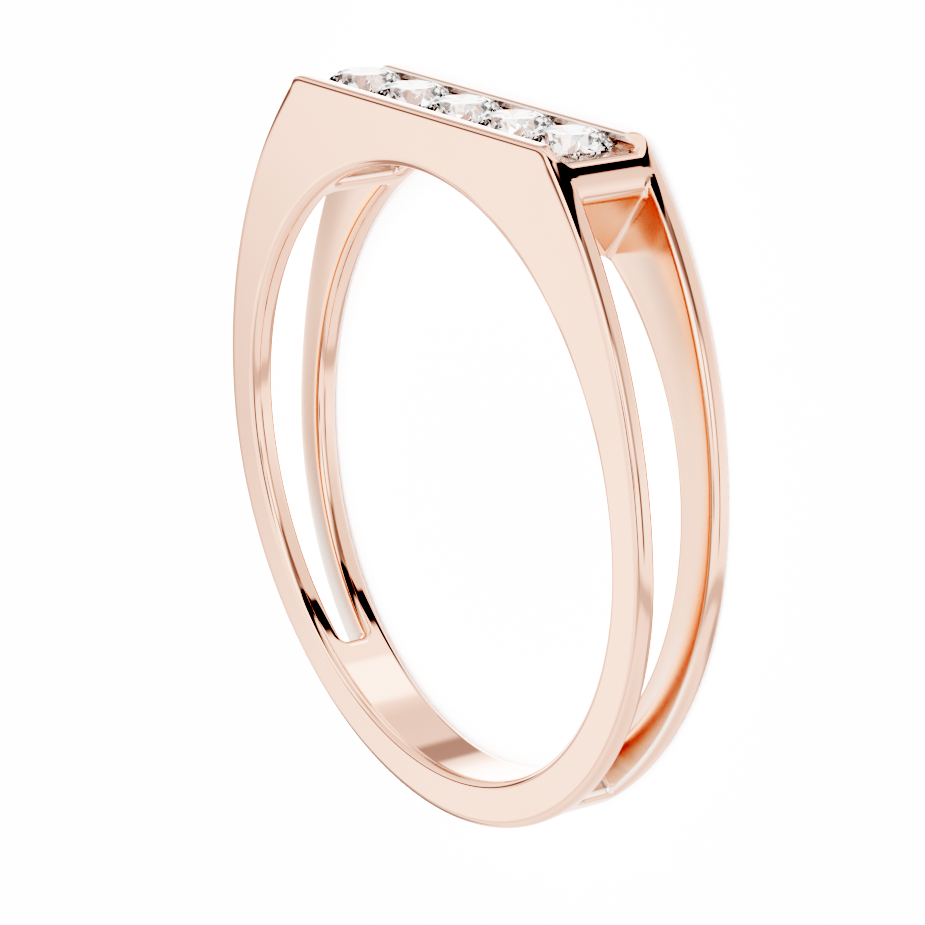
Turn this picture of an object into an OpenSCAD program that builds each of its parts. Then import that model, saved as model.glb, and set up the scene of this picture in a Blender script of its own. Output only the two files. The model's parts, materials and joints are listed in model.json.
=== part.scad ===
// Channel-set band of five round brilliants in one polished casting.
//
// Two thin rails run side by side round the finger. They are one solid at the bottom of the
// shank and part into open slots on both sides. Over the finger they rise to a straight, flat
// head with sharp shoulders, and hold five stones between them. A low bar joins the rails at
// each end of the row of stones.
//
// Ring coordinates: X runs along the row of stones, Y along the finger, Z from the middle of
// the finger hole up through the head. Angles go round the finger from +Z. The ring lies on
// the +Y side of the band, so the last step lays it down.

/* [Finger hole] */
// Inside diameter, US size 7
finger_d = 17.35; // [16.5:0.05:18.5]

/* [Band] */
// Thickness of the shank, from the finger hole outwards
shank_t = 1.38; // [1:0.02:2]
// Width of the head along the finger
head_w = 3.32; // [2.9:0.02:4.2]
// Taper of each side below the bend, in degrees
side_taper = 3; // [0.5:0.1:4]
// Height above the middle of the hole where the sides start to narrow
bend_top = 8.4; // [6:0.1:9]
// Height where the sides have reached their full taper
bend_bottom = -0.95; // [-3:0.05:0]
// Thickness of each rail beside a slot
rail_t = 0.64; // [0.5:0.02:0.8]
// Angle of a slot's upper end
slot_top = 37; // [36:0.5:45]
// Angle of a slot's lower end
slot_bottom = 140; // [110:1:155]

/* [Head] */
// Height of the flat top above the edge of the finger hole
head_rise = 1.69; // [1.6:0.01:2]
// Radius of the long arcs that sweep down from the shoulders
sweep_r = 15.25; // [14:0.05:20]
// How far below the middle of the hole an arc meets the round shank, in degrees
sweep_end = 1; // [0:0.5:5]
// Width of the channel between the walls beside the stones
channel_w = 2.36; // [2.36:0.01:2.38]
// Length of the channel
channel_l = 12.2; // [12.18:0.02:12.3]
// Radius of the channel's corners
channel_r = 0.25; // [0.1:0.05:0.4]
// Depth of the ledges under the edges of the stones, from the flat top
ledge_drop = 0.47; // [0.42:0.01:0.55]
// Angle of the open gallery's ends under the row
gallery_end = 32.3; // [30:0.1:33]
// Depth of the inner rim of an end bar, from the flat top
bar_drop = 0.38; // [0.3:0.01:0.4]
// Radius of an end bar's rounded top
bar_r = 0.92; // [0.8:0.02:1]

/* [Stones] */
// Number of stones
stones = 5; // [5]
// Diameter at the girdle
stone_d = 2.4; // [2.3:0.01:2.4]
// Distance from one stone to the next
stone_pitch = 2.43; // [2.42:0.01:2.44]
// Depth of the lower edge of the girdle, from the flat top
girdle_drop = 0.34; // [0.3:0.01:0.36]
// Thickness of the girdle
girdle_t = 0.06; // [0.03:0.01:0.08]
// Width of the table as a share of the diameter
table_share = 0.57; // [0.5:0.01:0.65]
// Height of the crown above the girdle
crown_h = 0.37; // [0.3:0.01:0.42]
// Slope of the pavilion's main facets, in degrees
pavilion_slope = 40.8; // [40:0.1:42]
// Play between a stone and its seat
seat_gap = 0.025; // [0.025:0.005:0.04]

/* [Hidden] */

metal = "#e2ab8f";
crystal = "#eef2f4";

hole_r = finger_d / 2;
shank_r = hole_r + shank_t;
// Heights in the head, above the middle of the hole
head_h = hole_r + head_rise;
ledge_h = head_h - ledge_drop;
bar_h = head_h - bar_drop;
girdle_h = head_h - girdle_drop;
// Every cutter and every long bar of stock is longer than the ring
past = 30;
smooth = 240;

// Round parts of a brilliant repeat every eighth of a turn
eighth = 360 / 8;

// Radius of the bend that turns a side from upright to its taper, and its run of narrow flats
bend_r = (bend_top - bend_bottom) / sin(side_taper);
bend_flats = 5;

// A sweep's centre lies on the line through the hole's centre and the point where they touch
sweep_gap = sweep_r - shank_r;
sweep_x = sweep_gap * cos(sweep_end);
sweep_z = sweep_gap * sin(sweep_end);
sweep_start_z = -shank_r * sin(sweep_end);

// The ring lies on this flat of the bend, which is the one under its balance point
rest_flat = 1;

// Height of a corner between two flats of the bend, counted from the bottom
function bend_height(i) = bend_bottom + (bend_top - bend_bottom) * i / bend_flats;

// Half the band's width at a height, without and with the taper below the bend
function half_width(z) =
    z >= bend_top ? head_w / 2
    : z >= bend_bottom ? head_w / 2 - bend_r + sqrt(pow(bend_r, 2) - pow(bend_top - z, 2))
    : half_width(bend_bottom) - (bend_bottom - z) * tan(side_taper);

// Solid between the two sides, each moved inwards by an inset, cut off square past the ring
module between_sides(inset) {
    heights = concat([-past / 2], [for (i = [0:bend_flats]) bend_height(i)], [past / 2]);
    rear = [for (z = heights) [half_width(z) - inset, z]];
    front = [for (i = [len(heights) - 1:-1:0]) [-rear[i][0], rear[i][1]]];
    rotate([90, 0, 90])
        linear_extrude(height = past, center = true)
            polygon(concat(rear, front));
}

// Round bar along the finger
module finger_bar(r, x = 0, z = 0) {
    translate([x, 0, z])
        rotate([90, 0, 0])
            cylinder(r = r, h = past, center = true, $fn = smooth);
}

// Prism along the finger over an outline given as [x, z] points
module finger_prism(points, width = past) {
    rotate([90, 0, 0])
        linear_extrude(height = width, center = true)
            polygon(points);
}

// Everything between two angles on the +X side
module between_angles(from, to) {
    middle = (from + to) / 2;
    finger_prism([
        [0, 0],
        [past * sin(from), past * cos(from)],
        [past * sin(middle), past * cos(middle)],
        [past * sin(to), past * cos(to)]
    ]);
}

// Both halves of something that repeats to the left
module both_ends() {
    children();
    mirror([1, 0, 0]) children();
}

// The band seen from the front: a round shank that sweeps up to the flat head
module front_outline() {
    finger_bar(shank_r);
    intersection() {
        finger_bar(sweep_r, -sweep_x, sweep_z);
        finger_bar(sweep_r, sweep_x, sweep_z);
        translate([-past / 2, -past / 2, sweep_start_z])
            cube([past, past, head_h - sweep_start_z]);
    }
}

// Open slot between the rails on the +X side
module slot() {
    intersection() {
        between_angles(slot_top, slot_bottom);
        between_sides(rail_t);
    }
}

// Open gallery under the stones, from the finger hole up to the ledges
module gallery() {
    intersection() {
        union() {
            between_angles(0, gallery_end);
            mirror([1, 0, 0]) between_angles(0, gallery_end);
        }
        between_sides(rail_t);
        translate([-channel_l / 2, -past / 2, 0])
            cube([channel_l, past, ledge_h + seat_gap]);
    }
}

// Channel above the ledges, open at the top
module channel() {
    height = past / 2;
    translate([-channel_l / 2, channel_r - channel_w / 2, ledge_h])
        cube([channel_l, channel_w - 2 * channel_r, height]);
    translate([channel_r - channel_l / 2, -channel_w / 2, ledge_h])
        cube([channel_l - 2 * channel_r, channel_w, height]);
    for (x = [-1, 1], y = [-1, 1])
        translate([x * (channel_l / 2 - channel_r), y * (channel_w / 2 - channel_r), ledge_h])
            cylinder(r = channel_r, h = height, $fn = 48);
}

// What is cut away over the rounded top of the end bar on the +X side
module over_end_bar() {
    rim_x = channel_l / 2 - channel_r;
    // The round starts at the rim and ends where it meets the sweep
    start = 14;
    finish = 53;
    steps = 6;
    middle_x = channel_l / 2 - bar_r * sin(start);
    middle_z = bar_h - bar_r * cos(start);
    round_top = [for (i = [0:steps])
        let (a = start + (finish - start) * i / steps)
            [middle_x + bar_r * sin(a), middle_z + bar_r * cos(a)]];
    last = round_top[steps];
    reach = 1;
    finger_prism(
        concat(
            [[rim_x, bar_h]],
            round_top,
            [
                [last[0] + reach * cos(finish), last[1] - reach * sin(finish)],
                [last[0] + reach, head_h + reach],
                [rim_x, head_h + reach]
            ]
        ),
        channel_w
    );
}

// Bearing that a stone is pressed into: a groove for the girdle over a cone
module seat(x) {
    r = stone_d / 2 + seat_gap;
    depth = r * tan(pavilion_slope);
    translate([x, 0, girdle_h - seat_gap]) {
        cylinder(r = r, h = girdle_t + 2 * seat_gap, $fn = 96);
        translate([0, 0, -depth]) cylinder(r1 = 0, r2 = r, h = depth, $fn = 96);
    }
}

function stone_x(i) = (i - (stones - 1) / 2) * stone_pitch;

// The casting: rails, shank, end bars and channel walls in one solid
module ring_band() {
    difference() {
        intersection() {
            front_outline();
            between_sides(0);
        }
        finger_bar(hole_r);
        both_ends() slot();
        gallery();
        channel();
        both_ends() over_end_bar();
        for (i = [0:stones - 1]) seat(stone_x(i));
    }
}

// Points of a ring of corners on a stone
function corners(r, z, n, turn = 0) =
    [for (i = [0:n - 1]) [r * cos(360 / n * i + turn), r * sin(360 / n * i + turn), z]];

// Round brilliant with its girdle's lower edge at z = 0: table, star, kite and upper girdle
// facets over main and lower girdle facets. Star corners lie in the planes of the kites, and
// the lower girdle's corners in the planes of the mains.
module brilliant() {
    r = stone_d / 2;
    table_r = r * table_share;
    star_r = (table_r + r) / 2;
    half = eighth / 2;
    crown_slope = crown_h / (r - table_r);
    star_z = girdle_t + crown_h - (star_r * cos(half) - table_r) * crown_slope;
    depth = r * tan(pavilion_slope);
    // The lower girdle facets reach this far down the pavilion
    lower_share = 0.78;
    lower_r = r * (1 - lower_share);
    lower_z = lower_r * cos(half) * tan(pavilion_slope) - depth;
    points = concat(
        corners(table_r, girdle_t + crown_h, 8),
        corners(star_r, star_z, 8, half),
        corners(r, girdle_t, 16),
        corners(r, 0, 16),
        corners(lower_r, lower_z, 8, half),
        [[0, 0, -depth]]
    );
    // The stone is the convex hull of its corners
    hull()
        polyhedron(points = points, faces = [for (i = [2:len(points) - 1]) [i - 2, i - 1, i]]);
}

// The last step: the ring lies on its +Y side, levelled on one flat of the bend. The hole's
// axis then meets the floor at the origin.
rest_low = bend_height(rest_flat);
rest_high = bend_height(rest_flat + 1);
lean = atan((half_width(rest_high) - half_width(rest_low)) / (rest_high - rest_low));
middle_height = half_width(rest_low) * cos(lean) - rest_low * sin(lean);

module lay_down() {
    translate([0, -middle_height * tan(lean), middle_height])
        rotate([lean - 90, 0, 0])
            children();
}

module band() {
    color(metal) lay_down() ring_band();
}

module diamond(i) {
    color(crystal) lay_down()
        translate([stone_x(i), 0, girdle_h]) brilliant();
}

band();
diamond(0);  // diamond_1
diamond(1);  // diamond_2
diamond(2);  // diamond_3
diamond(3);  // diamond_4
diamond(4);  // diamond_5
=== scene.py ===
"""Looks of a channel-set diamond band that lies on its side.

The band is one polished casting, so its surface is made from a signed distance field: the solid
forms and the cuts are joined with round edges, a warped grid follows the ring, and the surface
that the field crosses becomes the mesh. The field's gradient gives its normals.

Ring coordinates are millimetres: X along the row of stones, Y along the finger, Z from the
middle of the finger hole up through the head. RING carries them into the frame's metres.
"""

import itertools
import json
import math

import bmesh
import bpy
import numpy as np
from mathutils import Matrix, Vector

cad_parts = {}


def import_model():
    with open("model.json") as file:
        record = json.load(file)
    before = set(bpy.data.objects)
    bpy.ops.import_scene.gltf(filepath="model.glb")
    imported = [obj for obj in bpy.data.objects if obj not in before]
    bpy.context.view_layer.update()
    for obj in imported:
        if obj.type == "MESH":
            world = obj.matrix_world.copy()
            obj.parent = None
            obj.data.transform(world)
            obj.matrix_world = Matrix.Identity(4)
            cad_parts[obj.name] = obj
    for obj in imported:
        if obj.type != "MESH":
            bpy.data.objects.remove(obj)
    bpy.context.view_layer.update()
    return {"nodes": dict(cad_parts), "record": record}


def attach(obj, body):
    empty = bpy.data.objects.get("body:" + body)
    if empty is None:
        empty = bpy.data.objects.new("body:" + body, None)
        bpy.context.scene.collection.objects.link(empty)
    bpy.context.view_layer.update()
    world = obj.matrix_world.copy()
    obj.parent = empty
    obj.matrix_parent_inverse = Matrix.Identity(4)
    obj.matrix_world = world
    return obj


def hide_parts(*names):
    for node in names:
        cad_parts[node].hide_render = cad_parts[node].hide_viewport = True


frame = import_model()

MM = 0.001

# The finger hole and the band
HOLE_R = frame["record"]["mounts"][0]["dims"]["r_mm"]
SHANK_T = 1.38
SHANK_R = HOLE_R + SHANK_T
HEAD_W = 3.32
SIDE_TAPER = math.radians(3)
BEND_TOP = 8.4
BEND_BOTTOM = -0.95
BEND_FLATS = 5
REST_FLAT = 1

# The head
HEAD_H = HOLE_R + 1.69
SWEEP_R = 15.25
SWEEP_END = math.radians(1)
CHANNEL_W = 2.36
CHANNEL_L = 12.2
CHANNEL_R = 0.25
LEDGE_H = HEAD_H - 0.47
BAR_H = HEAD_H - 0.38
GALLERY_END = math.radians(32.3)
GALLERY_RAIL_T = 0.64
GALLERY_CORNER_R = 0.3
# How far the gallery's cutter reaches past the ledges, into the open channel
GALLERY_OVERLAP = 0.1

# The slots in the sides: a rail is thicker at the finger hole than at its outer surface
SLOT_TOP = math.radians(37)
SLOT_BOTTOM = math.radians(140)
RAIL_T_INSIDE = 0.70
RAIL_THINNING = 0.17

# The stones
STONES = 5
STONE_D = 2.4
STONE_PITCH = 2.43
GIRDLE_H = HEAD_H - 0.34
GIRDLE_T = 0.06
PAVILION_SLOPE = math.radians(40.8)
SEAT_GAP = 0.025

# What polishing takes off the sides, and how far it rounds the edges
POLISH_LOSS = 0.003
EDGE_BLEND = 0.34
EDGE_BLEND_AT_HEAD_END = 0.45
EDGE_BLEND_ON_TOP = 0.19
EDGE_R = 0.2
BORE_EDGE_R = 0.26
RIM_BLEND = 0.23
WALL_EDGE_R = 0.1
SLOT_CORNER_R = 0.18
SLOT_TOP_EDGE_R = 0.5

# Where one form goes over into another: across the head from an end bar to a rail, along it
# from the flat top to an end bar, up the sides to the broader edge of the head's end, and round
# a shoulder to the sharper edge of the flat top
BAR_TO_RAIL = (1.08, 1.7)
TOP_TO_BAR = (CHANNEL_L / 2 - 0.45, CHANNEL_L / 2 + 0.1)
EDGE_TO_HEAD_END = (7.5, 9.8)
EDGE_TO_TOP = (-0.3, 0.3)

# The band's side bends round a far centre, then runs straight
BEND_R = (BEND_TOP - BEND_BOTTOM) / math.sin(SIDE_TAPER)
BEND_Y = HEAD_W / 2 - BEND_R
TAPER_Y = BEND_Y + BEND_R * math.cos(SIDE_TAPER)
# A sweep's centre lies on the line through the hole's middle and the point where they touch
SWEEP_GAP = SWEEP_R - SHANK_R
SWEEP_X = SWEEP_GAP * math.cos(SWEEP_END)
SWEEP_Z = SWEEP_GAP * math.sin(SWEEP_END)


def half_width(z):
    """Half the band's width at the height z."""
    z = np.asarray(z, float)
    bend = BEND_Y + np.sqrt(BEND_R**2 - (BEND_TOP - np.clip(z, BEND_BOTTOM, None)) ** 2)
    return bend - np.clip(BEND_BOTTOM - z, 0, None) * math.tan(SIDE_TAPER)


def bend_corner(i):
    """Height of a corner of the flats that the construction model's bend is made of."""
    return BEND_BOTTOM + (BEND_TOP - BEND_BOTTOM) * i / BEND_FLATS


# The ring lies on one flat of its +Y side, where the finger hole's axis meets the floor at the
# frame's origin
REST_LOW = bend_corner(REST_FLAT)
REST_HIGH = bend_corner(REST_FLAT + 1)
LEAN = math.atan2(float(half_width(REST_HIGH) - half_width(REST_LOW)), REST_HIGH - REST_LOW)
MIDDLE_H = float(half_width(REST_LOW)) * math.cos(LEAN) - REST_LOW * math.sin(LEAN)
RING = (
    Matrix.Translation(Vector((0, -MIDDLE_H * math.tan(LEAN), MIDDLE_H)) * MM)
    @ Matrix.Rotation(LEAN - math.pi / 2, 4, "X")
    @ Matrix.Scale(MM, 4)
)


# Distance fields: negative inside a solid or a cut, in millimetres


def smooth_step(low, high, value):
    """0 below low, 1 above high, and an even change without corners between them."""
    t = np.clip((value - low) / (high - low), 0, 1)
    return t * t * (3 - 2 * t)


def mix(a, b, t):
    """From a at t = 0 to b at t = 1."""
    return a + (b - a) * t


def round_max(a, b, r):
    """Overlap of two solids whose shared edge is an arc within the distance r of both."""
    corner = np.maximum(a + r, 0) ** 2 + np.maximum(b + r, 0) ** 2
    return np.minimum(np.maximum(a, b), -r) + corner**0.5


def blend_max(a, b, reach):
    """Overlap of two solids whose shared edge is buffed: the curve starts and ends gently where
    the distances to the two differ by the reach."""
    near = np.maximum(reach - np.abs(a - b), 0) / reach
    return np.maximum(a, b) + reach / 6 * near**3


def cut(solid, cutter, r):
    """Solid minus cutter, with the edge where they cross rounded to the radius r."""
    return round_max(solid, -cutter, r)


def side_field(ay, z):
    """Distance past the band's side."""
    bend = np.hypot(ay - BEND_Y, z - BEND_TOP) - BEND_R
    straight = (ay - TAPER_Y + (BEND_BOTTOM - z) * math.tan(SIDE_TAPER)) * math.cos(SIDE_TAPER)
    return np.where(z > BEND_BOTTOM, bend, straight) + POLISH_LOSS


def outer_field(ax, z):
    """Distance past the round shank and the sweeps above it."""
    above = z * math.cos(SWEEP_END) + ax * math.sin(SWEEP_END) > 0
    sweep = np.hypot(ax + SWEEP_X, z - SWEEP_Z) - SWEEP_R
    return np.where(above, sweep, np.hypot(ax, z) - SHANK_R)


def outline_field(ax, ay, z):
    """Distance past the outline, whose top dips to the end bars between the rails."""
    rail = smooth_step(*BAR_TO_RAIL, ay)
    dip = (1 - rail) * smooth_step(*TOP_TO_BAR, ax)
    top = z - HEAD_H + (HEAD_H - BAR_H) * dip
    return blend_max(outer_field(ax, z), top, RIM_BLEND)


def depth_share(ax, z):
    """How far a point lies from the finger hole's wall, 0, to the outer surface, 1."""
    over_bore = np.hypot(ax, z) - HOLE_R
    return np.clip(over_bore / (over_bore - outer_field(ax, z)), 0, 1)


def slot_fields(ax, ay, z):
    """Distances past the ends and past the sides of the slot between the rails."""
    ends = np.maximum(
        z * math.sin(SLOT_TOP) - ax * math.cos(SLOT_TOP),
        ax * math.cos(SLOT_BOTTOM) - z * math.sin(SLOT_BOTTOM),
    )
    sides = side_field(ay, z) + RAIL_T_INSIDE - RAIL_THINNING * depth_share(ax, z) ** 2
    return ends, sides


def gallery_field(ax, ay, z):
    """Distance past the gallery under the stones."""
    slanted_end = ax * math.cos(GALLERY_END) - z * math.sin(GALLERY_END)
    ends = round_max(slanted_end, ax - CHANNEL_L / 2, GALLERY_CORNER_R)
    sides = side_field(ay, z) + GALLERY_RAIL_T
    return np.maximum(round_max(ends, sides, SLOT_CORNER_R), z - LEDGE_H - GALLERY_OVERLAP)


def channel_field(ax, ay, z):
    """Distance past the channel that the stones stand in."""
    corner_x = np.maximum(ax - CHANNEL_L / 2 + CHANNEL_R, 0)
    corner_y = np.maximum(ay - CHANNEL_W / 2 + CHANNEL_R, 0)
    inner = np.maximum(ax - CHANNEL_L / 2, ay - CHANNEL_W / 2) + CHANNEL_R
    walls = np.hypot(corner_x, corner_y) + np.minimum(inner, 0) - CHANNEL_R
    return np.maximum(walls, LEDGE_H - z)


def groove_field(ax, ay, z):
    """Distance past the grooves in the channel's walls that hold the stones' girdles."""
    over_middle = np.abs(z - GIRDLE_H - GIRDLE_T / 2)
    section = np.maximum(ay - STONE_D / 2, over_middle - GIRDLE_T / 2) - SEAT_GAP
    return np.maximum(section, ax - CHANNEL_L / 2)


def bearing_field(x, y, z):
    """Distance past the cone under the nearest stone."""
    last = (STONES - 1) / 2
    stone_x = np.clip(np.round(x / STONE_PITCH), -last, last) * STONE_PITCH
    below = GIRDLE_H - SEAT_GAP - z
    cone = np.hypot(x - stone_x, y) - STONE_D / 2 - SEAT_GAP + below / math.tan(PAVILION_SLOPE)
    return np.maximum(cone * math.sin(PAVILION_SLOPE), -below)


def band_field(x, y, z):
    """Distance outside the metal."""
    ax, ay = np.abs(x), np.abs(y)
    share = depth_share(ax, z)

    on_top = smooth_step(*EDGE_TO_TOP, (z - HEAD_H) - outer_field(ax, z))
    edge_blend = mix(EDGE_BLEND, EDGE_BLEND_AT_HEAD_END, smooth_step(*EDGE_TO_HEAD_END, z))
    edge_blend = mix(edge_blend, EDGE_BLEND_ON_TOP, on_top)
    metal = blend_max(outline_field(ax, ay, z), side_field(ay, z), edge_blend)
    metal = cut(metal, np.hypot(ax, z) - HOLE_R, BORE_EDGE_R)

    # The edge at the slots' top is rounder than the edges of the rails
    ends, sides = slot_fields(ax, ay, z)
    slot = round_max(ends, sides, SLOT_CORNER_R)
    with_ends = cut(metal, slot, mix(BORE_EDGE_R, SLOT_TOP_EDGE_R, share * (z > 0)))
    metal = np.minimum(with_ends, cut(metal, sides, mix(BORE_EDGE_R, EDGE_R, share)))
    metal = cut(metal, gallery_field(ax, ay, z), BORE_EDGE_R)
    metal = cut(metal, channel_field(ax, ay, z), WALL_EDGE_R)
    metal = np.maximum(metal, -groove_field(ax, ay, z))
    return np.maximum(metal, -bearing_field(x, y, z))


# The duller finish of the recesses and the painted light in their colour fade out where an edge
# leaves a cutter's face, and in a slot also towards the finger hole. The slots count as narrow
# towards their lower ends, and in part towards their upper ends.
FACE_FADE = (0.015, 0.06)
DEPTH_FADE = (0.1, 0.6)
LOWER_END_FADE = (1, 5)
UPPER_END_FADE = (5, 8)
UPPER_END_SHARE = 0.4


def on_face(field):
    """1 on a cutter's own face, falling to 0 where an edge rounds away from it."""
    return 1 - smooth_step(*FACE_FADE, np.abs(field))


def recesses(points):
    """Two shares for the points of the surface: of the recesses' faces, which the buffing wheel
    hardly reaches, and of the narrowest of them, where light is mirrored again and again. Both
    shares also carry painted light: paler base colours that stand in for that mirrored light."""
    x, y, z = points.T
    ax, ay = np.abs(x), np.abs(y)
    slot = on_face(np.maximum(*slot_fields(ax, ay, z)))
    slot = smooth_step(*DEPTH_FADE, depth_share(ax, z)) * slot
    others = np.maximum(on_face(gallery_field(ax, ay, z)), on_face(channel_field(ax, ay, z)))
    lower_end = smooth_step(*LOWER_END_FADE, -z)
    upper_end = UPPER_END_SHARE * smooth_step(*UPPER_END_FADE, z)
    return np.maximum(slot, others), np.maximum(slot * (lower_end + upper_end), others)


# The grid that the surface is found in

# Steps between stations: the first, the longest and the last. Along the head and the end bar
# they are shares of its length, round the slot and the shank degrees.
HEAD_STEPS = (0.03, 0.03, 0.006)
BAR_STEPS = (0.03, 0.055, 0.03)
SLOT_STEPS = (0.25, 1.3, 0.3)
SHANK_STEPS = (0.3, 1.6, 1.6)
STEP_GROWTH = 1.3

# Depth under the outer surface of the stations' middle points, level with the gallery's top
MIDDLE_DEPTH = 0.715
# Distances from the finger hole's wall, then depths under the outer surface
BORE_LINES = (-0.05, -0.012, 0.02, 0.05, 0.09)
DEPTH_LINES = (
    0.68, 0.61, 0.54, 0.49, 0.45, 0.405, 0.36, 0.315, 0.27, 0.225,
    0.185, 0.15, 0.12, 0.09, 0.06, 0.035, 0.012, -0.012, -0.04,
)
BETWEEN_LINES = 9
# Distances inwards from a side, then the number of lines from there to the middle
SIDE_LINES = (-0.035, -0.01, 0.015, 0.045, 0.08, 0.115, 0.15, 0.19, 0.24, 0.3)
INNER_LINES = 22


def graded(start, stop, first, longest, last):
    """Numbers from start to stop, whose steps grow from both ends towards the longest one."""
    low, high = first, last
    front, back = [], []
    left = stop - start
    while left > 0:
        if low <= high:
            step = min(low, longest)
            front.append(step)
            low *= STEP_GROWTH
        else:
            step = min(high, longest)
            back.append(step)
            high *= STEP_GROWTH
        if low > longest and high > longest:
            low = high = longest
        left -= step
    steps = np.array(front + back[::-1])
    return start + np.concatenate([[0], np.cumsum(steps)]) * (stop - start) / steps.sum()


def direction(angle):
    """Unit vectors in the ring's plane, at angles from +Z."""
    return np.stack([np.sin(angle), np.cos(angle)], -1)


def on_sweep(z):
    """Point of the outer sweep at the height z."""
    return np.stack([np.sqrt(SWEEP_R**2 - (z - SWEEP_Z) ** 2) - SWEEP_X, z], -1)


def outer_radius(angle):
    """Distance from the middle of the hole to the shank or the sweep, at an angle from +Z."""
    away = SWEEP_X * np.sin(angle) - SWEEP_Z * np.cos(angle)
    reach = -away + np.sqrt(away**2 - SWEEP_GAP**2 + SWEEP_R**2)
    return np.where(angle > math.pi / 2 + SWEEP_END, SHANK_R, reach)


def stations():
    """Lines across the ring's section on the +X side: their points at the finger hole, at the
    middle depth and at the outer surface, from the middle of the head to the bottom."""
    slot_top, slot_bottom = math.degrees(SLOT_TOP), math.degrees(SLOT_BOTTOM)
    on_head = graded(0, 1, *HEAD_STEPS)
    on_bar = graded(0, 1, *BAR_STEPS)[1:]
    on_slot = graded(slot_top, slot_bottom, *SLOT_STEPS)[1:]
    on_shank = graded(slot_bottom, 180, *SHANK_STEPS)[1:]
    below_bar = np.radians(np.concatenate([on_slot, on_shank]))

    shoulder_x = on_sweep(HEAD_H)[0]
    slot_z = float(outer_radius(SLOT_TOP)) * math.cos(SLOT_TOP)
    outer = np.concatenate([
        np.stack([on_head * shoulder_x, np.full(on_head.shape, HEAD_H)], -1),
        on_sweep(mix(HEAD_H, slot_z, on_bar)),
        direction(below_bar) * outer_radius(below_bar)[:, None],
    ])
    bar_angle = mix(GALLERY_END, SLOT_TOP, on_bar)
    bore = HOLE_R * direction(np.concatenate([on_head * GALLERY_END, bar_angle, below_bar]))
    lean = np.concatenate([np.zeros(on_head.shape), on_bar * SLOT_TOP, below_bar])
    return bore, outer - MIDDLE_DEPTH * direction(lean), outer


def section_lines(bore, middle, outer):
    """Points of every station on every line from the finger hole outwards."""
    into_metal = (middle - bore) / np.linalg.norm(middle - bore, axis=-1)[:, None]
    lines = [bore + into_metal * distance for distance in BORE_LINES]
    start = lines[-1]
    lines += [mix(start, middle, i / BETWEEN_LINES) for i in range(1, BETWEEN_LINES)]
    outward = (outer - middle) / MIDDLE_DEPTH
    lines += [outer - outward * depth for depth in DEPTH_LINES]
    return np.stack(lines, 1)


def band_grid():
    """Grid round the whole ring: stations, then lines outwards, then lines along the finger."""
    right = section_lines(*stations())
    left = right[-2:0:-1] * np.array([-1, 1])
    section = np.concatenate([right, left])
    half = half_width(section[..., 1])[..., None]
    near = half - np.array(SIDE_LINES)
    inner = (half - SIDE_LINES[-1]) * (1 - np.arange(1, INNER_LINES + 1) / INNER_LINES)
    rear = np.concatenate([near, inner], -1)
    y = np.concatenate([rear, -rear[..., -2::-1]], -1)
    x = np.broadcast_to(section[..., :1], y.shape)
    z = np.broadcast_to(section[..., 1:], y.shape)
    return np.stack([x, y, z], -1)


# The surface

GRADIENT_REACH = 0.002
# Moves of the points onto the surface: how many, how long at most, and the least square of the
# gradient's length that a move is worked out with
SETTLING_MOVES = 6
LONGEST_MOVE = 0.05
LEAST_SQUARE = 0.2


def gradient(points):
    """Gradient of the band's field."""
    slopes = []
    for axis in np.eye(3) * GRADIENT_REACH:
        ahead = band_field(*(points + axis).T)
        behind = band_field(*(points - axis).T)
        slopes.append((ahead - behind) / (2 * GRADIENT_REACH))
    return np.stack(slopes, -1)


def cell_points(grid, field):
    """A point in each cell of the grid that the surface crosses, in the middle of where the field
    changes sign along the cell's edges, and the number of every cell's point, -1 where it has
    none. The first axis of the grid runs round the ring and closes."""
    cells = (field.shape[0], field.shape[1] - 1, field.shape[2] - 1)
    total = np.zeros(cells + (3,))
    count = np.zeros(cells)

    def at(array, corner):
        i, j, k = corner
        return np.roll(array, -i, axis=0)[:, j:j + cells[1], k:k + cells[2]]

    for corner, axis in itertools.product(itertools.product((0, 1), repeat=3), range(3)):
        if corner[axis]:
            continue
        other = corner[:axis] + (1,) + corner[axis + 1:]
        a, b = at(field, corner), at(field, other)
        crossed = (a < 0) != (b < 0)
        t = np.where(crossed, a / np.where(crossed, a - b, 1), 0)[..., None]
        total += np.where(crossed[..., None], mix(at(grid, corner), at(grid, other), t), 0)
        count += crossed
    used = count > 0
    number = np.full(cells, -1)
    number[used] = np.arange(used.sum())
    return total[used] / count[used][:, None], number


def cell_faces(inside, number):
    """Faces that join the points of the four cells round each edge of the grid that the surface
    crosses."""
    cells = np.array(number.shape)
    faces = []
    for axis in range(3):
        crossed = np.argwhere(inside != np.roll(inside, -1, axis=axis))
        first, second = (n for n in range(3) if n != axis)
        around = np.repeat(crossed[:, None], 4, axis=1)
        around[:, 1:3, first] -= 1
        around[:, 2:4, second] -= 1
        # Only the first axis closes, so an edge on the grid's outside has no face
        fine = ((around[..., 1:] >= 0) & (around[..., 1:] < cells[1:])).all((-1, -2))
        around = around[fine]
        around[..., 0] %= cells[0]
        faces.append(number[around[..., 0], around[..., 1], around[..., 2]])
    return np.concatenate(faces)


def settled(points):
    """The points, moved along the gradient onto the surface."""
    for _ in range(SETTLING_MOVES):
        slope = gradient(points)
        move = band_field(*points.T) / np.maximum((slope**2).sum(-1), LEAST_SQUARE)
        points = points - slope * np.clip(move, -LONGEST_MOVE, LONGEST_MOVE)[:, None]
    return points


def wound_outwards(points, normals, faces):
    """The faces, each turned so that its own normal agrees with the field's."""
    a, b, c, d = (points[faces[:, n]] for n in range(4))
    own = np.cross(c - a, d - b)
    agrees = (own * normals[faces].sum(1)).sum(-1) > 0
    return np.where(agrees[:, None], faces, faces[:, ::-1])


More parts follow.
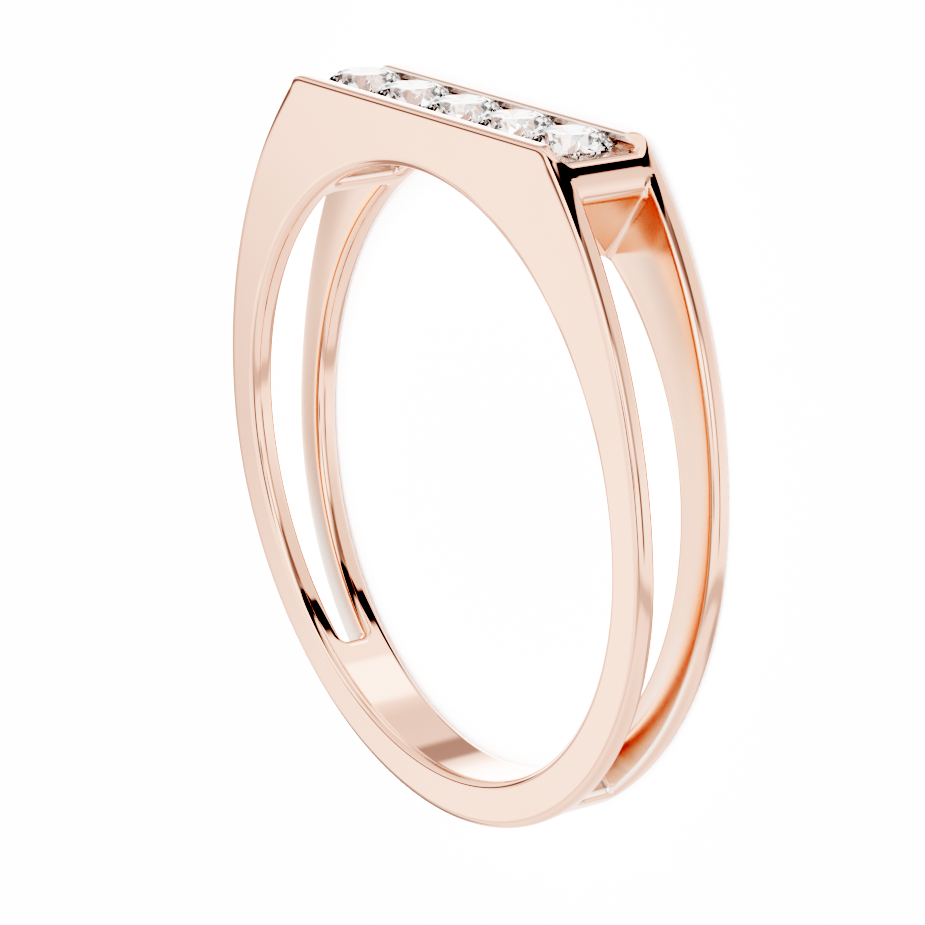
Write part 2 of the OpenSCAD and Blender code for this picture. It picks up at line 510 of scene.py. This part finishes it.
def added(name, data):
    """New object in the scene."""
    thing = bpy.data.objects.new(name, data)
    bpy.context.scene.collection.objects.link(thing)
    return thing


def metal_band():
    """The casting, with its own normals and with its recesses marked for the material."""
    grid = band_grid()
    field = band_field(*np.moveaxis(grid, -1, 0))
    points, number = cell_points(grid, field)
    points = settled(points)
    normals = gradient(points)
    normals /= np.linalg.norm(normals, axis=-1)[:, None]
    faces = wound_outwards(points, normals, cell_faces(field < 0, number))

    mesh = bpy.data.meshes.new("band_casting")
    placed = points @ np.array(RING.to_3x3()).T + np.array(RING.translation)
    mesh.from_pydata(placed, [], faces)
    mesh.polygons.foreach_set("use_smooth", np.ones(len(faces), bool))
    mesh.update()
    turn = np.array(RING.to_3x3().normalized())
    mesh.normals_split_custom_set_from_vertices(normals @ turn.T)
    for name, share in zip(("recess", "narrow"), recesses(points)):
        mesh.attributes.new(name, "FLOAT", "POINT").data.foreach_set("value", share)
    print("band_casting:", len(points), "points,", len(faces), "faces")
    return added("band_casting", mesh)


# Materials

# The gold's colour wanders between these two, each with its place in the noise
GOLD_TONES = ((0.35, (0.885, 0.595, 0.505, 1)), (0.65, (0.895, 0.605, 0.515, 1)))
# Duller finish in the recesses, and painted light: paler base colour there, and paler still
# where they are narrow, in place of light mirrored between their faces
RECESS_PAINTED_LIGHT_TINT = (0.92, 0.64, 0.54, 1)
NARROW_PAINTED_LIGHT_TINT = (0.95, 0.82, 0.765, 1)
RECESS_ROUGHNESS = 0.15

# Sockets of a Mix node for colours, by number because other kinds of value share their names
MIX_FACTOR = 0
MIX_A = 6
MIX_B = 7
MIX_RESULT = 2


def new_material(name):
    """Material with its node tree and its shader."""
    material = bpy.data.materials.new(name)
    material.use_nodes = True
    return material, material.node_tree, material.node_tree.nodes["Principled BSDF"]


def wired(tree, kind, values, **settings):
    """New node, with its settings made and each input joined to a socket or set to a value."""
    node = tree.nodes.new(kind)
    for name, value in settings.items():
        setattr(node, name, value)
    for key, value in values.items():
        if isinstance(value, bpy.types.NodeSocket):
            tree.links.new(value, node.inputs[key])
        else:
            node.inputs[key].default_value = value
    return node


def noise(tree, scale, detail):
    """Noise over the object's own coordinates."""
    where = tree.nodes.new("ShaderNodeTexCoord").outputs["Object"]
    values = {"Vector": where, "Scale": scale, "Detail": detail}
    return wired(tree, "ShaderNodeTexNoise", values).outputs["Fac"]


def wandering(tree, value, low, high):
    """The value, which runs from 0 to 1, brought between low and high."""
    limits = {"Value": value, "To Min": low, "To Max": high}
    return wired(tree, "ShaderNodeMapRange", limits).outputs["Result"]


def share_of(tree, name):
    """Share that the mesh holds for each of its points."""
    return wired(tree, "ShaderNodeAttribute", {}, attribute_name=name).outputs["Fac"]


def rose_gold():
    """Polished rose gold with the faint unevenness of a buffed surface, and painted light in its
    recesses.
    """
    material, tree, shader = new_material("polished_rose_gold")
    shader.inputs["Metallic"].default_value = 1
    tones = wired(tree, "ShaderNodeValToRGB", {"Fac": noise(tree, scale=180, detail=3)})
    for element, (place, tone) in zip(tones.color_ramp.elements, GOLD_TONES):
        element.position = place
        element.color = tone
    colour = tones.outputs["Color"]
    # Painted light: the base colour is blended to paler tints in the recesses and their narrow parts,
    # standing in for light mirrored between their faces
    for name, tint in (("recess", RECESS_PAINTED_LIGHT_TINT), ("narrow", NARROW_PAINTED_LIGHT_TINT)):
        values = {MIX_FACTOR: share_of(tree, name), MIX_A: colour, MIX_B: tint}
        colour = wired(tree, "ShaderNodeMix", values, data_type="RGBA").outputs[MIX_RESULT]
    tree.links.new(colour, shader.inputs["Base Color"])
    haze = noise(tree, scale=2500, detail=4)
    polish = wandering(tree, haze, low=0.035, high=0.065)
    duller = {0: share_of(tree, "recess"), 1: RECESS_ROUGHNESS, 2: polish}
    rough = wired(tree, "ShaderNodeMath", duller, operation="MULTIPLY_ADD")
    tree.links.new(rough.outputs["Value"], shader.inputs["Roughness"])
    return material


def diamond():
    """Clear stone of high refraction, with a trace of unevenness in its polish."""
    material, tree, shader = new_material("diamond")
    shader.inputs["Transmission Weight"].default_value = 1
    shader.inputs["IOR"].default_value = 2.42
    shader.inputs["Base Color"].default_value = (1, 1, 1, 1)
    haze = noise(tree, scale=1200, detail=2)
    polish = wandering(tree, haze, low=0, high=0.01)
    tree.links.new(polish, shader.inputs["Roughness"])
    return material


# Brightness of the room against elevation in degrees
ROOM = (
    (-90, 0.66), (-60, 0.69), (-40, 0.76), (-32, 0.72), (-29, 0.52), (-25, 0.52), (-21, 0.80),
    (-8, 0.88), (6, 0.76), (16, 0.68), (50, 0.64), (57, 0.86), (90, 0.80),
)
# Where the arch fades in along the dome's X, as a share of the dome's radius
ARCH_END = (-0.45, -0.15)
# In millimetres
DOME_R = 4000


def studio_light():
    """What the polished metal mirrors: a pale room with bright panels and black flags round the
    ring. It is worked out from the dome's own coordinates, with angles in degrees."""
    material = bpy.data.materials.new("studio_light")
    material.use_nodes = True
    tree = material.node_tree
    tree.nodes.clear()

    def maths(operation, *values):
        """Result of a Math node."""
        return wired(tree, "ShaderNodeMath", dict(enumerate(values)), operation=operation).outputs[0]

    def eased(value, low, high, at_low=0, at_high=1):
        """Even change without corners from one limit of the value to the other."""
        limits = {"Value": value, "From Min": low, "From Max": high}
        limits |= {"To Min": at_low, "To Max": at_high}
        return wired(tree, "ShaderNodeMapRange", limits, interpolation_type="SMOOTHSTEP").outputs[0]

    def up_to(value, limit, soft):
        """1 up to the limit and 0 past it, with a soft edge."""
        low, high = math.radians(limit - soft), math.radians(limit + soft)
        return eased(value, low, high, at_low=1, at_high=0)

    def laid_over(level, cover, brightness):
        """The level, changed to the brightness as far as it is covered."""
        return maths("MULTIPLY_ADD", cover, maths("SUBTRACT", brightness, level), level)

    where = tree.nodes.new("ShaderNodeTexCoord").outputs["Object"]
    unit = wired(tree, "ShaderNodeVectorMath", {0: where}, operation="NORMALIZE").outputs[0]
    part = wired(tree, "ShaderNodeSeparateXYZ", {0: unit})
    azimuth = maths("ARCTAN2", part.outputs["Y"], part.outputs["X"])
    elevation = maths("ARCSINE", part.outputs["Z"])

    def panel(level, at, half, soft, brightness):
        """Panel with soft edges: its middle's azimuth and elevation and its half size."""
        across = maths("WRAP", maths("SUBTRACT", azimuth, math.radians(at[0])), math.pi, -math.pi)
        along = maths("SUBTRACT", elevation, math.radians(at[1]))
        cover = maths(
            "MULTIPLY",
            up_to(maths("ABSOLUTE", across), half[0], soft),
            up_to(maths("ABSOLUTE", along), half[1], soft),
        )
        return laid_over(level, cover, brightness)

    def from_middle(at):
        """Angle from a direction that is given as azimuth and elevation."""
        turn, rise = map(math.radians, at)
        middle = (math.cos(rise) * math.cos(turn), math.cos(rise) * math.sin(turn), math.sin(rise))
        near = wired(tree, "ShaderNodeVectorMath", {0: unit, 1: middle}, operation="DOT_PRODUCT")
        return maths("ARCCOSINE", near.outputs["Value"])

    def round_flag(level, at, reach, soft, brightness):
        """Round flag: its middle's azimuth and elevation and its radius."""
        return laid_over(level, up_to(from_middle(at), reach, soft), brightness)

    def arch(level, at, inner, outer, brightness):
        """Black arch over the +X side: the radii of its two edges, each with its softness."""
        away = from_middle(at)
        inside = up_to(away, *inner)
        cover = maths("MULTIPLY", maths("SUBTRACT", 1, inside), up_to(away, *outer))
        cover = maths("MULTIPLY", cover, eased(part.outputs["X"], *ARCH_END))
        return laid_over(level, cover, brightness)

    height = maths("MULTIPLY_ADD", elevation, 1 / math.pi, 0.5)
    ramp = wired(tree, "ShaderNodeValToRGB", {"Fac": height})
    elements = ramp.color_ramp.elements
    while len(elements) < len(ROOM):
        elements.new(0.5)
    for element, (rise, brightness) in zip(elements, ROOM):
        element.position = (rise + 90) / 180
        element.color = (brightness, brightness, brightness, 1)

    # Each is given by its middle, its size, its softness and its brightness. It is laid over the
    # ones before it, so their order counts.
    level = ramp.outputs["Color"]
    # For the rounded edges and the rails' outer surfaces, with the arch for the end bar
    level = panel(level, (-50, 36), (32, 8), 5, 0.30)
    level = panel(level, (14, 14), (8, 14), 5, 0.42)
    level = panel(level, (-10, 36), (16, 12), 4, 0.24)
    level = arch(level, (193, 61), (57, 2), (68.2, 1), 0.05)
    level = panel(level, (-62, 12), (58, 9), 4, 1.0)
    level = panel(level, (-39, 13), (7, 11), 4, 0.42)
    # For the finger hole
    level = panel(level, (102, 58), (16, 4), 3, 1.15)
    level = round_flag(level, (-115, 46), 6, 3, 0.4)
    level = panel(level, (90, -36), (38, 6), 5, 0.45)
    level = panel(level, (142, 29), (16, 6), 2, 0.36)
    level = panel(level, (146, -4), (12, 18), 11, 1.5)
    # For the insides of the slots, the outer surface at the bottom and the edges
    level = panel(level, (178, -12), (30, 10), 3, 1.3)
    level = panel(level, (178, -36), (26, 8), 3, 0.35)
    level = panel(level, (140, -29), (9, 6), 2, 1.5)
    level = round_flag(level, (-178, 35), 10, 6, 0.30)
    # For the front
    level = panel(level, (-147, -13), (21, 13), 3, 0.22)
    level = panel(level, (-145, -19), (26, 10), 2, 0.77)
    level = panel(level, (-147, -19), (6, 10), 2, 0.89)
    level = panel(level, (-160, -17), (10, 6), 5, 0.5)
    # For the fine lines along the rails' edges
    level = panel(level, (-55, -7), (9, 3), 2, 0.35)
    level = panel(level, (16, -8), (6, 9), 3, 0.24)
    level = panel(level, (-80, -12), (9, 13), 4, 0.24)
    glow = wired(tree, "ShaderNodeEmission", {"Strength": level})
    wired(tree, "ShaderNodeOutputMaterial", {"Surface": glow.outputs[0]})
    return material


def studio_dome():
    """Sphere round the ring that only reflections and refractions see."""
    mesh = bpy.data.meshes.new("studio_dome")
    ball = bmesh.new()
    bmesh.ops.create_uvsphere(ball, u_segments=96, v_segments=48, radius=DOME_R)
    ball.to_mesh(mesh)
    ball.free()
    mesh.materials.append(studio_light())
    dome = added("studio_dome", mesh)
    dome.matrix_world = Matrix.Translation(RING.translation) @ RING.to_3x3().to_4x4()
    dome.visible_camera = False
    dome.visible_diffuse = False
    dome.visible_shadow = False


# In metres
FLOOR_REACH = 5


def floor():
    """Plain white floor, which reflections and refractions don't see."""
    material, _, shader = new_material("white_floor")
    shader.inputs["Base Color"].default_value = (0.9, 0.9, 0.9, 1)
    shader.inputs["Roughness"].default_value = 0.9
    corners = [(x * FLOOR_REACH, y * FLOOR_REACH, 0) for x, y in ((-1, -1), (1, -1), (1, 1), (-1, 1))]
    mesh = bpy.data.meshes.new("floor")
    mesh.from_pydata(corners, [], [(0, 1, 2, 3)])
    mesh.materials.append(material)
    plane = added("floor", mesh)
    plane.visible_glossy = False
    plane.visible_transmission = False


# Camera, at the photograph's angle to the ring: distances and lens in millimetres, clipping in
# metres
CAMERA_TURN = math.radians(55.409)
CAMERA_RISE = math.radians(17.259)
CAMERA_DISTANCE = 98.96
CAMERA_LIFT = 0.176
CAMERA_LENS = 138.2
CAMERA_SENSOR_W = 36
CAMERA_CLIP = (0.001, 50)


def camera():
    """The camera, placed in ring coordinates."""
    back = Vector((
        math.sin(CAMERA_TURN) * math.cos(CAMERA_RISE),
        -math.cos(CAMERA_TURN) * math.cos(CAMERA_RISE),
        math.sin(CAMERA_RISE),
    ))
    right = Vector((math.cos(CAMERA_TURN), math.sin(CAMERA_TURN), 0))
    up = back.cross(right)
    place = back * CAMERA_DISTANCE + up * CAMERA_LIFT
    turned = Matrix((right, up, back)).transposed().to_4x4()
    data = bpy.data.cameras.new("camera")
    data.sensor_width = CAMERA_SENSOR_W
    data.lens = CAMERA_LENS
    data.clip_start, data.clip_end = CAMERA_CLIP
    view = added("camera", data)
    spun = RING.to_3x3().normalized().to_4x4() @ turned
    view.matrix_world = Matrix.Translation(RING @ place) @ spun
    bpy.context.scene.camera = view


# The photograph's tone: light in the scene against light in the picture
TONE = (
    (0.08, 0.0), (0.095, 0.003), (0.14, 0.06), (0.21, 0.23), (0.31, 0.46), (0.46, 0.69),
    (0.68, 0.87), (1.0, 0.965),
)
BRIGHTEST = 1.6
# Index of the curve that all three colours share
COMBINED = 3
WORLD_STRENGTH = 2.4


def world():
    """White light from all round, enough bounces for metal and stones, and the tone curve."""
    scene = bpy.context.scene
    sky = bpy.data.worlds.new("studio")
    scene.world = sky
    sky.use_nodes = True
    background = sky.node_tree.nodes["Background"]
    background.inputs["Color"].default_value = (1, 1, 1, 1)
    background.inputs["Strength"].default_value = WORLD_STRENGTH
    scene.cycles.max_bounces = 14
    scene.cycles.glossy_bounces = 8
    scene.cycles.transmission_bounces = 12
    view = scene.view_settings
    view.view_transform = "Standard"
    view.use_curve_mapping = True
    view.curve_mapping.clip_max_x = BRIGHTEST
    tone = view.curve_mapping.curves[COMBINED]
    tone.points[-1].location = (BRIGHTEST, 1)
    for point in TONE:
        tone.points.new(*point)
    view.curve_mapping.update()


camera()
world()
floor()
studio_dome()
casting = metal_band()
casting.data.materials.append(rose_gold())
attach(casting, "root")
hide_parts("band")
stone_material = diamond()
for number in range(1, STONES + 1):
    stone = frame["nodes"][f"diamond_{number}"]
    stone.material_slots[0].material = stone_material
